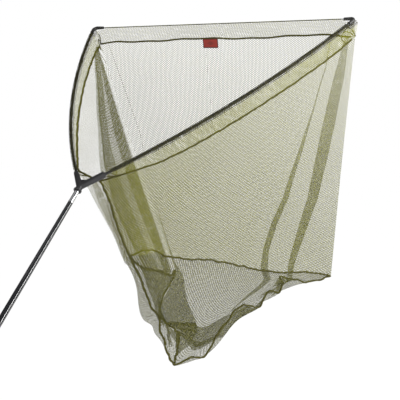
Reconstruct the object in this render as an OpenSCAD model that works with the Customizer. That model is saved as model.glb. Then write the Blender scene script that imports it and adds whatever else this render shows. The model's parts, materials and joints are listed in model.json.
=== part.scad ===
// Triangular-headed landing net: a threaded pole, a V-shaped spreader block, two bowed
// arms joined by a taut cord, and a deep mesh bag with a pointed floor.
// The origin is the centre of the grip. +X points from the grip towards the net, +Z is up
// as the net is held, and the object is the same on both sides of the XZ plane.

/* [Handle] */
// Length from the butt to the centre of the spreader block
handle_len = 1800; // [1200:10:2400]
// Angle of the pole above the horizontal, as it is held
handle_slope = 44.4; // [40:0.1:50]
// Radius of the pole just under the ferrule
pole_top_r = 8; // [7.8:0.1:9]
// Radius of the pole at the end of its steep upper taper
pole_mid_r = 10.2; // [9.5:0.1:11]
// Radius of the pole under the grip
pole_butt_r = 12; // [11.8:0.1:12.5]
// Wall thickness of the pole
pole_wall = 1.2; // [0.8:0.1:1.5]
// Length of the foam grip
grip_len = 300; // [200:10:400]
// Radius of the foam grip
grip_r = 15; // [15:0.5:18]

/* [Spreader block] */
// Angle of the frame plane above the horizontal
frame_tilt = 34; // [30:1:38]
// Angle of each arm socket to the centre line
socket_angle = 39; // [36:1:42]
// Length of each leg from the centre of the block
leg_len = 85; // [75:1:95]
// Height of the block, across the frame plane
block_h = 21; // [19:1:24]
// Radius of the flange over the handle
flange_r = 13; // [12:0.5:14]

/* [Thread] */
// Outer radius of the 3/8 inch stud
stud_r = 4.7; // [4.6:0.01:4.72]
// Distance between threads
thread_pitch = 1.27; // [1.27:0.01:1.3]
// Depth of the thread grooves
thread_depth = 0.7; // [0.5:0.1:0.8]
// Length of stud below the block
stud_reach = 24; // [20:1:30]

/* [Arms] */
// Length of an arm's curved part
arm_arc_len = 1013; // [900:1:1100]
// How far an arm turns inwards along its curve, in degrees
arm_turn = 21.5; // [18:0.5:24]
// Radius of an arm
arm_r = 4.4; // [3.5:0.1:4.5]
// Radius of the metal sleeve on an arm's root
root_r = 4.8; // [4.6:0.05:4.9]
// Radius of the tip pieces
tip_r = 6; // [5.6:0.1:6.5]
// Radius of the cord across the mouth
cord_r = 1.5; // [1.2:0.1:1.8]

/* [Net] */
// Depth of the mesh sleeves around the mouth
sleeve_h = 60; // [50:1:65]
// Thickness of the mesh panels
mesh_t = 1.2; // [1:0.1:2]
// Radius of the binding tapes
tape_r = 2.4; // [2:0.1:2.5]
// Width of the sewn label
label_w = 62; // [40:1:80]
// Depth of the sewn label
label_h = 32; // [25:1:36]
// Distance from the middle of the front seam to the label's middle
label_shift = 50; // [0:1:200]

/* [Hidden] */
$fn = 48;

// Play between the pieces, all radial or end to end
run_gap = 0.06;         // a shaft that runs or slides in its hole
free_gap = 0.3;         // two bodies that only pass each other
seam_gap = 1;           // neighbouring facets of a mesh panel
tape_gap = 13;          // a panel's corner to the corner of its seams

// Places along the handle, measured from the centre of the grip
cap_t = 20;
hub_z = handle_len - grip_len / 2 - cap_t;
flange_t = 6;
flange_z = hub_z - 19;
washer_t = 2;
washer_z = flange_z - free_gap - washer_t;
ferrule_z = washer_z - free_gap;
ferrule_r = 7.6;
ferrule_len = 46;
spigot_len = 42;
pole_top_z = ferrule_z - ferrule_len;
pole_mid_z = hub_z - 530;
grip_top_z = grip_len / 2;
lip_r = 8.4;
lip_t = 5;
collar_t = 7;
cap_plug_len = 30;
cap_edge = 3;

// The spreader block, in the frame plane with its centre at the origin
neck_angle = handle_slope - frame_tilt;
leg_end_w = 14.5;
leg_root_w = 21;
socket_floor = 27;
barrel_r = 10.4;
barrel_up = 9;
stud_seat = 5;
flange_notches = 14;
notch_r = 1.1;

// The arms, in the frame plane
arc_start = leg_len + 6;
arm_bend_r = arm_arc_len * 180 / (PI * arm_turn);
end_angle = socket_angle - arm_turn;
arc_centre = arc_start * [cos(socket_angle), sin(socket_angle)]
    + arm_bend_r * [sin(socket_angle), -cos(socket_angle)];
tip = arc_centre + arm_bend_r * [-sin(end_angle), cos(end_angle)];
arm_stop = 0.37;         // degrees of the curve between the arm's end and the elbow's corner
arm_end_gap = 16.8;      // that stretch as a length, less a little
tip_bend_r = 12;         // a tip piece's bend, on its centre line
tip_setback = tip_bend_r * tan((90 + end_angle) / 2);
ring_r = 6.4;
ring_t = 4;
tip_leg = 34;
cord_leg = 42;
cord_hole_r = cord_r + 0.1;
knot_r = 2.5;
knot_y = tip.y - 25;

// Corners of the mesh bag, in the frame plane with +Z across it
bag_throat = [100, 0, -68];
bag_back = [86, 0, -337];
bag_point = [84, 0, -806];
bag_corner = [645, 331, -865];
facets = 6;
sleeve_top = 5.9;
sleeve_ends = [0.02, 0.96];
throat_h = 20;           // a side sleeve's depth next to the block
full_at = 0.5;           // the share of an arm by which its sleeve is full depth
tape_drop = tape_r + free_gap;
wall_drop = 2 * tape_drop + 1;
wall_gap = 3;
front_inset = 62;        // front sleeve's ends to the tips
label_t = 1.2;
wall_lean = atan((tip.x - bag_corner.x) / (-bag_corner.z - sleeve_h));

function reach(p, q, s) = p + (q - p) * s;
function other_side(p) = [p.x, -p.y, p.z];
function arm_at(s, z) = let (t = socket_angle - arm_turn * s)
    [arc_centre.x - arm_bend_r * sin(t), arc_centre.y + arm_bend_r * cos(t), z];
// The lower edge of an arm's sleeve, which is narrow in the throat next to the block
function sleeve_low(s) = -throat_h - (sleeve_h - throat_h) * min(1, s / full_at);
function mean(ps, i = 0) = i == len(ps) - 1 ? ps[i] / len(ps) : ps[i] / len(ps) + mean(ps, i + 1);
// A corner drawn back from a seam, towards the panel's middle
function drawn_in(p, c, by) = p + (c - p) * by / norm(c - p);

// Puts children on the handle's axis, which becomes Z, with the grip's centre at 0
module on_handle() { rotate([0, 90 - handle_slope, 0]) children(); }

// Puts children in the frame plane, with the block's centre at the origin
module on_frame() {
    translate(hub_z * [cos(handle_slope), 0, sin(handle_slope)])
        rotate([0, -frame_tilt, 0]) children();
}

// Puts children on the left socket's axis, which becomes Z
module on_socket() { rotate([0, 0, socket_angle]) rotate([0, 90, 0]) children(); }

// Puts children on the handle's axis as the block sees it, Z pointing down the handle
module on_neck() { rotate([0, -90 - neck_angle, 0]) children(); }

// Makes the right-hand copy of a left-hand piece
module right() { mirror([0, 1, 0]) children(); }

// ---- handle ----
module handle_pole() color([0.05, 0.05, 0.055]) on_handle() rotate_extrude() polygon([
    [pole_butt_r, -grip_top_z], [pole_butt_r, grip_top_z],
    [pole_mid_r, pole_mid_z], [pole_top_r, pole_top_z],
    [pole_top_r - pole_wall, pole_top_z], [pole_mid_r - pole_wall, pole_mid_z],
    [pole_butt_r - pole_wall, grip_top_z], [pole_butt_r - pole_wall, -grip_top_z]
]);

module handle_ferrule() color([0.78, 0.79, 0.8]) on_handle() difference() {
    union() {
        translate([0, 0, pole_top_z]) cylinder(h = ferrule_len, r = ferrule_r);
        translate([0, 0, pole_top_z - spigot_len])
            cylinder(h = spigot_len, r = pole_top_r - pole_wall);
    }
    translate([0, 0, ferrule_z - stud_reach - 6])
        cylinder(h = stud_reach + 7, r = stud_r + run_gap);
}

module ferrule_lip_ring() color([0.86, 0.87, 0.88]) on_handle() rotate_extrude() polygon([
    [ferrule_r, pole_top_z], [lip_r, pole_top_z], [lip_r, pole_top_z + lip_t - 1],
    [lip_r - 0.6, pole_top_z + lip_t], [ferrule_r, pole_top_z + lip_t]
]);

module handle_grip() color([0.09, 0.09, 0.09]) on_handle() difference() {
    translate([0, 0, -grip_top_z]) cylinder(h = grip_len, r = grip_r);
    translate([0, 0, -grip_top_z - 1]) cylinder(h = grip_len + 2, r = pole_butt_r);
}

module grip_collar() color([0.12, 0.12, 0.12]) on_handle() rotate_extrude() polygon([
    [pole_butt_r, grip_top_z], [grip_r - 0.4, grip_top_z],
    [grip_r - 0.4, grip_top_z + 2], [pole_butt_r + 1, grip_top_z + collar_t],
    [pole_butt_r, grip_top_z + collar_t]
]);

module butt_cap() color([0.07, 0.07, 0.07]) on_handle() rotate_extrude() polygon([
    [0, -grip_top_z - cap_t], [grip_r - cap_edge, -grip_top_z - cap_t],
    [grip_r - 0.2, -grip_top_z - cap_t + cap_edge], [grip_r - 0.2, -grip_top_z],
    [pole_butt_r - pole_wall, -grip_top_z],
    [pole_butt_r - pole_wall, -grip_top_z + cap_plug_len], [0, -grip_top_z + cap_plug_len]
]);

module thread_washer() color([0.15, 0.15, 0.15]) on_handle() translate([0, 0, washer_z])
    difference() {
        cylinder(h = washer_t, r = ferrule_r + 1.2);
        translate([0, 0, -1]) cylinder(h = washer_t + 2, r = stud_r + free_gap);
    }

// ---- spreader block ----
// The stud's threads are rings, since a joint only needs their outer size
module thread_stud() {
    turns = floor((stud_reach - 4) / thread_pitch);
    low = flange_z - stud_reach;
    edge = [for (i = [0:turns - 1], half = [0, 1])
        [half == 0 ? stud_r - thread_depth : stud_r, low + 1 + (i + half / 2) * thread_pitch]];
    color([0.72, 0.66, 0.45]) on_handle() rotate_extrude() polygon(concat(
        [[0, low], [stud_r - thread_depth, low]], edge,
        [[stud_r, low + stud_reach - 2], [stud_r, hub_z - stud_seat], [0, hub_z - stud_seat]]
    ));
}

module leg_outline() {
    polygon([
        [0, -leg_root_w / 2], [leg_len, -leg_end_w / 2],
        [leg_len, leg_end_w / 2], [0, leg_root_w / 2]
    ]);
}

module block_leg() {
    intersection() {
        rotate([0, 0, socket_angle])
            translate([0, 0, -block_h / 2]) linear_extrude(block_h) leg_outline();
        on_socket() cylinder(h = leg_len + 1, r = block_h / 2);
    }
}

module block_web() {
    a = leg_len * 0.42;
    translate([0, 0, -block_h * 0.3]) linear_extrude(block_h * 0.6) polygon([
        [0, 0], a * [cos(socket_angle), -sin(socket_angle)],
        [a * cos(socket_angle) * 1.02, 0], a * [cos(socket_angle), sin(socket_angle)]
    ]);
}

module block_neck() {
    neck = hub_z - flange_z;
    translate([0, 0, -barrel_up]) cylinder(h = neck + barrel_up - 1, r = barrel_r);
    translate([0, 0, neck - flange_t]) difference() {
        union() {
            cylinder(h = 1, r1 = flange_r - 1, r2 = flange_r);
            translate([0, 0, 1]) cylinder(h = flange_t - 2, r = flange_r);
            translate([0, 0, flange_t - 1]) cylinder(h = 1, r1 = flange_r, r2 = flange_r - 1);
        }
        for (i = [1:flange_notches]) rotate([0, 0, i * 360 / flange_notches])
            translate([flange_r + 0.3, 0, -1]) cylinder(h = flange_t + 2, r = notch_r, $fn = 16);
    }
}

module spreader_block() color([0.13, 0.13, 0.135]) on_frame() difference() {
    union() {
        block_leg();
        right() block_leg();
        block_web();
        on_neck() block_neck();
    }
    on_socket() translate([0, 0, socket_floor]) cylinder(h = leg_len, r = root_r + run_gap);
    right() on_socket() translate([0, 0, socket_floor])
        cylinder(h = leg_len, r = root_r + run_gap);
    on_neck() translate([0, 0, stud_seat]) cylinder(h = leg_len, r = stud_r);
}

// ---- arms ----
module arc_sweep(from, to) {
    translate([arc_centre.x, arc_centre.y, 0])
        rotate([0, 0, 90 + socket_angle - to])
        rotate_extrude(angle = to - from, $fn = 360) children();
}

module arm_solid() arc_sweep(0, arm_turn - arm_stop) translate([arm_bend_r, 0]) circle(r = arm_r);

module arm_root_solid() on_socket() rotate_extrude() polygon([
    [0, socket_floor + 0.5], [root_r - 1, socket_floor + 0.5], [root_r, socket_floor + 1.5],
    [root_r, arc_start], [0, arc_start]
]);

module arm_ring_solid() on_socket() translate([0, 0, leg_len + free_gap]) difference() {
    rotate_extrude() polygon([
        [0, 0], [ring_r - 0.8, 0], [ring_r, ring_t * 0.3], [ring_r, ring_t * 0.7],
        [ring_r - 0.8, ring_t], [0, ring_t]
    ]);
    translate([0, 0, -1]) cylinder(h = ring_t + 2, r = root_r);
}

// Puts children on the arm's end, with Z running back along the arm from the elbow's corner
module on_tip() {
    translate([tip.x, tip.y, 0]) rotate([0, 0, end_angle]) rotate([0, -90, 0]) children();
}

module tip_elbow_solid() difference() {
    union() {
        on_tip() translate([0, 0, tip_setback]) cylinder(h = tip_leg - tip_setback, r = tip_r);
        on_tip() translate([0, 0, tip_leg - 4]) cylinder(h = 4, r = tip_r + 0.6);
        translate([tip.x - tip_bend_r, tip.y - tip_setback, 0])
            rotate_extrude(angle = 90 + end_angle) translate([tip_bend_r, 0]) circle(r = tip_r);
        translate([tip.x, tip.y - tip_setback, 0]) rotate([90, 0, 0])
            cylinder(h = cord_leg - tip_setback, r1 = tip_r, r2 = tip_r - 1);
    }
    on_tip() translate([0, 0, arm_end_gap]) cylinder(h = tip_leg, r = arm_r + free_gap);
    translate([tip.x, knot_y, 0]) rotate([90, 0, 0]) cylinder(h = cord_leg, r = cord_hole_r);
    translate([tip.x, knot_y, 0]) sphere(r = knot_r + 0.1);
}

module cord_solid() translate([tip.x, knot_y - knot_r - 0.05, 0]) rotate([90, 0, 0])
    cylinder(h = knot_y - knot_r - 0.05 - free_gap, r = cord_r, $fn = 24);

module knot_solid() translate([tip.x, knot_y, 0]) sphere(r = knot_r, $fn = 32);

module left_arm() color([0.13, 0.13, 0.1]) on_frame() arm_solid();
module right_arm() color([0.13, 0.13, 0.1]) on_frame() right() arm_solid();
module left_arm_root() color([0.4, 0.4, 0.42]) on_frame() arm_root_solid();
module right_arm_root() color([0.4, 0.4, 0.42]) on_frame() right() arm_root_solid();
module left_arm_ring() color([0.06, 0.06, 0.06]) on_frame() arm_ring_solid();
module right_arm_ring() color([0.06, 0.06, 0.06]) on_frame() right() arm_ring_solid();
module left_tip_elbow() color([0.12, 0.12, 0.11]) on_frame() tip_elbow_solid();
module right_tip_elbow() color([0.12, 0.12, 0.11]) on_frame() right() tip_elbow_solid();
module left_front_cord() color([0.2, 0.2, 0.17]) on_frame() cord_solid();
module right_front_cord() color([0.2, 0.2, 0.17]) on_frame() right() cord_solid();
module left_cord_knot() color([0.2, 0.2, 0.17]) on_frame() knot_solid();
module right_cord_knot() color([0.2, 0.2, 0.17]) on_frame() right() knot_solid();

// ---- mesh bag ----
// A thin slab on three or four corners, which need not be quite in one plane
module slab(ps) {
    n = len(ps);
    c = mean(ps);
    across = cross(ps[1] - ps[0], ps[2] - ps[0]);
    half = across * mesh_t / 2 / norm(across);
    top = [for (p = ps) p + half];
    low = [for (p = ps) p - half];
    fan = [for (i = [1:n - 2]) [0, i + 1, i]];
    polyhedron(concat(top, low), concat(
        fan,
        [for (f = fan) [f[2] + n, f[1] + n, f[0] + n]],
        [for (i = [0:n - 1]) let (j = (i + 1) % n) [i, j, j + n]],
        [for (i = [0:n - 1]) let (j = (i + 1) % n) [i, j + n, i + n]]
    ));
}

// A panel between seams, with its corners drawn back so that the tapes have room
module panel(ps) {
    c = mean(ps);
    slab([for (p = ps) drawn_in(p, c, tape_gap)]);
}

// A slab that stays just clear of the next one along its edges
module apart(ps) {
    c = mean(ps);
    slab([for (p = ps) drawn_in(p, c, wall_gap)]);
}

// A side wall hangs from an arm's curve down to the straight base seam, in flat triangles
module wall_solid() {
    base_a = drawn_in(bag_back, bag_corner, tape_gap) + [0, 4, 6];
    base_b = drawn_in(bag_corner, bag_back, tape_gap) + [0, 4, 6];
    for (i = [0:facets - 1]) {
        s = i / facets;
        e = (i + 1) / facets;
        top_s = i == 0 ? bag_throat + [12, 12, 0] : arm_at(s, sleeve_low(s) - wall_drop);
        top_e = arm_at(e, sleeve_low(e) - wall_drop) - (i == facets - 1 ? [10, 6, 0] : [0, 0, 0]);
        low_s = reach(base_a, base_b, s);
        low_e = reach(base_a, base_b, e);
        apart([top_s, low_s, top_e]);
        apart([low_s, low_e, top_e]);
    }
}

module sleeve_solid() {
    step = (sleeve_ends[1] - sleeve_ends[0]) / facets;
    for (i = [0:facets - 1]) {
        s = sleeve_ends[0] + i * step;
        e = s + step;
        slab([
            arm_at(s, -sleeve_top) + [seam_gap, 0, 0], arm_at(s, sleeve_low(s)) + [seam_gap, 0, 0],
            arm_at(e, sleeve_low(e)), arm_at(e, -sleeve_top)
        ]);
    }
}

// A straight run of binding tape
module tape(p, q) {
    d = q - p;
    l = norm(d);
    translate(p) rotate([0, acos(d.z / l), atan2(d.y, d.x)]) cylinder(h = l, r = tape_r, $fn = 16);
}

// A run of binding tape round corners, in straight lengths that almost meet
module tape_path(ps) {
    for (i = [1:len(ps) - 1])
        tape(drawn_in(ps[i - 1], ps[i], seam_gap / 2), drawn_in(ps[i], ps[i - 1], seam_gap / 2));
}

module sleeve_tape_solid() {
    step = (sleeve_ends[1] - sleeve_ends[0]) / facets;
    tape_path([for (i = [0:facets]) let (s = sleeve_ends[0] + i * step)
        arm_at(s, sleeve_low(s) - tape_drop)]);
}

module front_sleeve_solid() {
    w = 2 * (tip.y - front_inset);
    translate([tip.x - mesh_t / 2, -w / 2, -sleeve_h])
        cube([mesh_t, w, sleeve_h - sleeve_top]);
}

module left_sleeve() color([0.5, 0.5, 0.36]) on_frame() sleeve_solid();
module right_sleeve() color([0.5, 0.5, 0.36]) on_frame() right() sleeve_solid();
module front_sleeve() color([0.55, 0.55, 0.42]) on_frame() front_sleeve_solid();
module left_wall() color([0.62, 0.62, 0.48]) on_frame() wall_solid();
module right_wall() color([0.62, 0.62, 0.48]) on_frame() right() wall_solid();

module front_wall() color([0.68, 0.68, 0.56]) on_frame() {
    top = [tip.x, tip.y - 20, -sleeve_h - wall_drop];
    panel([top, bag_corner, other_side(bag_corner), other_side(top)]);
}

module front_floor() color([0.6, 0.6, 0.45]) on_frame()
    panel([bag_corner, bag_point, other_side(bag_corner)]);

module floor_solid() panel([bag_back, bag_point, bag_corner]);
module left_floor() color([0.58, 0.58, 0.42]) on_frame() floor_solid();
module right_floor() color([0.58, 0.58, 0.42]) on_frame() right() floor_solid();

module back_seam_tape() color([0.3, 0.3, 0.17]) on_frame()
    tape_path([bag_throat, bag_back, bag_point]);

module left_base_tape() color([0.3, 0.3, 0.17]) on_frame()
    tape(drawn_in(bag_back, bag_corner, 6), drawn_in(bag_corner, bag_back, 6));
module right_base_tape() color([0.3, 0.3, 0.17]) on_frame() right()
    tape(drawn_in(bag_back, bag_corner, 6), drawn_in(bag_corner, bag_back, 6));
module left_floor_tape() color([0.3, 0.3, 0.17]) on_frame()
    tape(drawn_in(bag_corner, bag_point, 6), drawn_in(bag_point, bag_corner, 10));
module right_floor_tape() color([0.3, 0.3, 0.17]) on_frame() right()
    tape(drawn_in(bag_corner, bag_point, 6), drawn_in(bag_point, bag_corner, 10));
module left_sleeve_tape() color([0.3, 0.3, 0.17]) on_frame() sleeve_tape_solid();
module right_sleeve_tape() color([0.3, 0.3, 0.17]) on_frame() right() sleeve_tape_solid();

module front_sleeve_tape() color([0.3, 0.3, 0.17]) on_frame() {
    end = [tip.x, tip.y - front_inset, -sleeve_h - tape_drop];
    tape(other_side(end), end);
}

module label() color([0.62, 0.14, 0.1]) on_frame()
    translate([tip.x - tape_r - 4, label_shift - label_w / 2, -sleeve_h - tape_drop])
        rotate([0, wall_lean, 0]) translate([0, 0, -label_h]) cube([label_t, label_w, label_h]);

handle_pole();
handle_ferrule();
ferrule_lip_ring();
handle_grip();
grip_collar();
butt_cap();
thread_washer();
thread_stud();
spreader_block();
left_arm();
right_arm();
left_arm_root();
right_arm_root();
left_arm_ring();
right_arm_ring();
left_tip_elbow();
right_tip_elbow();
left_front_cord();
right_front_cord();
left_cord_knot();
right_cord_knot();
left_sleeve();
right_sleeve();
front_sleeve();
left_wall();
right_wall();
front_wall();
front_floor();
left_floor();
right_floor();
back_seam_tape();
left_base_tape();
right_base_tape();
left_floor_tape();
right_floor_tape();
left_sleeve_tape();
right_sleeve_tape();
front_sleeve_tape();
label();
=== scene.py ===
"""Looks of a carp landing net: a glossy pole, a plastic spreader block, two bowed arms and a soft mesh bag.

The bag's shape is worked out in millimetres in the head's own frame: +X forward from the block's centre
in the plane of the arms, +Y towards the left arm, +Z across that plane, on the mouth's outer side.
"""

import json
import math

import bmesh
import bpy
import numpy as np
from mathutils import Matrix, Vector, noise


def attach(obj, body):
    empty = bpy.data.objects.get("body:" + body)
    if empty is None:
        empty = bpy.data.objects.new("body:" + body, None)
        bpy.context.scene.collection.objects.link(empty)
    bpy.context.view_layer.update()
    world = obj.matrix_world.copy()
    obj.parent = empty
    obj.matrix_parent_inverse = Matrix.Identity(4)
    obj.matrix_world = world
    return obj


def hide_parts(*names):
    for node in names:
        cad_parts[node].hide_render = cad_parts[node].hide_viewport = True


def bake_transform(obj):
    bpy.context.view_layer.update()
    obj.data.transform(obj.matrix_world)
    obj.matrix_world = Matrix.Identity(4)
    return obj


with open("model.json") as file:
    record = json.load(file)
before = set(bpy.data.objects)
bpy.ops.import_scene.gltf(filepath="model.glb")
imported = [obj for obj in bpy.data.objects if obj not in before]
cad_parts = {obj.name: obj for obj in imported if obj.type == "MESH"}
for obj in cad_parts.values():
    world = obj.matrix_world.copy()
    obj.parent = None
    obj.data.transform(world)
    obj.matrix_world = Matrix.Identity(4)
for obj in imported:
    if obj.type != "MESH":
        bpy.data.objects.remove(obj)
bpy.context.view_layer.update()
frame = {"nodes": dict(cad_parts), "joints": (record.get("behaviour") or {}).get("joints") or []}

# ---- the head's frame, from the joints ----
joints = {j["name"]: j for j in frame["joints"]}


def unit(v):
    v = np.asarray(v, float)
    return v / np.linalg.norm(v)


hub = np.array(joints["head_screw"]["pos_m"])
left_pull = np.array(joints["left_arm_pull"]["axis"])
right_pull = np.array(joints["right_arm_pull"]["axis"])
forward = unit(left_pull + right_pull)
across = unit(left_pull - right_pull)
outward = np.cross(forward, across)
head_axes = np.array([forward, across, outward])


def place(points):
    """Points in the head's frame, in millimetres, as points in the row frame, in metres."""
    return hub + (np.asarray(points, float) / 1000) @ head_axes


# ---- driving sizes, in millimetres in the head's frame ----
# The arms', cord's and label's sizes, the sleeves' depth and the first three points of the bag are the CAD's.
# The others are this script's own: the CAD's sleeves, tapes and right corner are a little different.
socket_angle = math.radians(39)
arm_turn = math.radians(21.5)
arm_start = 91
arm_length = 1013
arm_bend = arm_length / arm_turn
arm_r = 4.4
tip = np.array([
    arm_start * math.cos(socket_angle)
    + arm_bend * (math.sin(socket_angle) - math.sin(socket_angle - arm_turn)),
    arm_start * math.sin(socket_angle)
    + arm_bend * (math.cos(socket_angle - arm_turn) - math.cos(socket_angle)),
    0,
])
cord_r = 1.5
sleeve_depth = 60
throat_depth = 10
full_at = 0.5  # the share of an arm by which its sleeve is full depth
elbow_clear = 11
rod_clear, cord_clear = 2.8, 0.8  # how far the netting stands off the rod and the cord that it is folded over
knot_inset = 24  # from the arm's tip to the end of the cord, at its knot in the elbow
tape_w = 8.0
tape_t = 6.0
cell = 6.0
label_w, label_h, label_shift = 62, 32, 50
bag_back = (86, 0, -337)
bag_point = (84, 0, -806)
bag_corner = (645, 331, -865)
right_corner = (645, -331, -849)


# ---- camera ----
camera_from_hub = (-3.92, -2.973, 0.22)  # metres
camera_looks = (0.8386, 0.5421, -0.0531)


def make_camera():
    data = bpy.data.cameras.new("camera")
    data.lens = 144.1
    data.sensor_width = 36
    data.clip_start, data.clip_end = 0.1, 60
    obj = bpy.data.objects.new("camera", data)
    bpy.context.scene.collection.objects.link(obj)
    obj.location = Vector(hub) + Vector(camera_from_hub)
    obj.rotation_mode = "QUATERNION"
    obj.rotation_quaternion = Vector(camera_looks).to_track_quat("-Z", "Y")
    bpy.context.scene.camera = obj


make_camera()


# ---- curves and grids ----
def spline(points, count):
    """count points, evenly spaced, on a smooth curve through the given ones."""
    p = np.asarray(points, float)
    chord = np.r_[0, np.cumsum(np.linalg.norm(np.diff(p, axis=0), axis=1))]
    slope = np.gradient(p, chord, axis=0) if len(p) > 2 else np.repeat((p[1:] - p[:1]) / chord[-1], 2, 0)
    t = np.linspace(0, chord[-1], 40 * len(p))
    i = np.clip(np.searchsorted(chord, t, "right") - 1, 0, len(p) - 2)
    span = (chord[i + 1] - chord[i])[:, None]
    s = (t - chord[i])[:, None] / span
    fine = ((2 * s**3 - 3 * s**2 + 1) * p[i] + (s**3 - 2 * s**2 + s) * span * slope[i]
            + (3 * s**2 - 2 * s**3) * p[i + 1] + (s**3 - s**2) * span * slope[i + 1])
    return even(fine, count)


def even(line, count):
    """A polyline resampled to count evenly spaced points."""
    run = np.r_[0, np.cumsum(np.linalg.norm(np.diff(line, axis=0), axis=1))]
    want = np.linspace(0, run[-1], count)
    return np.stack([np.interp(want, run, line[:, k]) for k in range(3)], 1)


def coons(top, bottom, start, end):
    """A smooth surface between four edges: rows run from start to end, columns from top to bottom."""
    rows, cols = len(start), len(top)
    u = np.linspace(0, 1, cols)[None, :, None]
    v = np.linspace(0, 1, rows)[:, None, None]
    ruled = (1 - u) * start[:, None] + u * end[:, None] + (1 - v) * top[None] + v * bottom[None]
    corners = ((1 - u) * (1 - v) * top[0] + u * (1 - v) * top[-1]
               + (1 - u) * v * bottom[0] + u * v * bottom[-1])
    return ruled - corners


def sample(grid, u, v):
    """Points of a grid at shares u across and v down."""
    rows, cols = grid.shape[:2]
    x, y = np.clip(u, 0, 1) * (cols - 1), np.clip(v, 0, 1) * (rows - 1)
    i, j = np.minimum(y.astype(int), rows - 2), np.minimum(x.astype(int), cols - 2)
    a, b = (y - i)[..., None], (x - j)[..., None]
    return ((1 - a) * ((1 - b) * grid[i, j] + b * grid[i, j + 1])
            + a * ((1 - b) * grid[i + 1, j] + b * grid[i + 1, j + 1]))


def normals(grid):
    n = np.cross(np.gradient(grid, axis=1), np.gradient(grid, axis=0))
    size = np.linalg.norm(n, axis=2, keepdims=True)
    return n / np.maximum(size, 1e-9)


def bump(x, centre, width):
    """A smooth hump, 1 at centre and 0 from width away."""
    return np.cos(np.clip((x - centre) / width, -1, 1) * math.pi / 2) ** 2


def ease(x):
    x = np.clip(x, 0, 1)
    return x * x * (3 - 2 * x)


def ripple(grid, u, v, size, waves_across, waves_down, seed):
    """Soft unevenness across a sheet, nothing at its edges."""
    lift = np.array([[noise.noise(Vector((a * waves_across + seed, b * waves_down, seed * 1.7)))
                      for a, b in zip(ua, va)] for ua, va in zip(u, v)])
    fade = np.minimum(1, 8 * np.minimum(np.minimum(u, 1 - u), np.minimum(v, 1 - v)))
    return grid + normals(grid) * (lift * fade * size)[..., None]


def pleat(*points):
    """A Z-fold's (middle, half width) at each share along it, from a few (share, middle, half width)."""
    at, middle, half = np.array(points, float).T
    return lambda share: (np.interp(share, at, middle), np.interp(share, at, half))


def fold_lines(folds, at, stack=0.0):
    """The fold lines of Z-folds at shares along them, and how many layers up the cloth is at each line.

    stack lifts each fold that much over the one before, for folds that lie on each other."""
    lines, lifts = [0 * at], [0.0]
    for i, fold in enumerate(folds):
        middle, half = fold(at)
        lines += [middle + half, middle - half]
        lifts += [0.5 + stack * i, 1.5 + stack * i]
    return np.stack(lines + [0 * at + 1]), np.array(lifts + [0.0])


def sections(lines, density):
    """For each grid line between fold lines: its section, and its share of the way across it."""
    widths = [np.abs(b - a).max() for a, b in zip(lines, lines[1:])]
    counts = [max(4, int(round(w * density))) for w in widths]
    index = np.repeat(np.arange(len(counts)), counts)
    share = np.concatenate([np.arange(1, n + 1) / n for n in counts])
    return np.r_[0, index], np.r_[0.0, share]


def folded(base, pleats=(), tucks=(), rows=100, columns=120, pleat_gap=3.0, tuck_gap=5.0, stack=0.0):
    """The base surface with Z-folds: pleats run down it and tucks across it."""
    lines, lifts = fold_lines(pleats, np.linspace(0, 1, 150), stack)
    col, part = sections(lines, columns)
    mean = np.median(lines, axis=1)
    about = mean[col] * (1 - part) + mean[col + 1] * part
    rungs, drops = fold_lines(tucks, about)
    row, share = sections(rungs, rows)
    v = rungs[row] * (1 - share)[:, None] + rungs[row + 1] * share[:, None]
    down_lift = (drops[row] * (1 - share) + drops[row + 1] * share)[:, None] * np.ones_like(v)
    for tuck in tucks:
        down_lift = down_lift * np.clip(tuck(about)[1] / 0.03, 0, 1)
    exact, _ = fold_lines(pleats, v)
    here = np.arange(len(col))
    u = (exact[col, :, here] * (1 - part)[:, None] + exact[col + 1, :, here] * part[:, None]).T
    lift = (lifts[col] * (1 - part) + lifts[col + 1] * part)[None, :]
    surface, out = sample(base, u, v), sample(normals(base), u, v)
    return surface + out * (lift * pleat_gap + down_lift * tuck_gap)[..., None]


def flat_uv(grid, middle=0.5):
    """Where each point lay on the flat cloth, in metres: along its row from a middle column, and down."""
    along = np.linalg.norm(np.diff(grid, axis=1), axis=2)
    along = np.concatenate([np.zeros((len(grid), 1)), np.cumsum(along, 1)], 1)
    ref = int(middle * (grid.shape[1] - 1))
    down = np.linalg.norm(np.diff(grid, axis=0), axis=2)
    down = np.concatenate([np.zeros((1, grid.shape[1])), np.cumsum(down, 0)], 0)
    return np.stack([along - along[:, ref:ref + 1], down], 2) / 1000


# ---- meshes ----
def link(name, mesh):
    obj = bpy.data.objects.new(name, mesh)
    bpy.context.scene.collection.objects.link(obj)
    return obj


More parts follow.
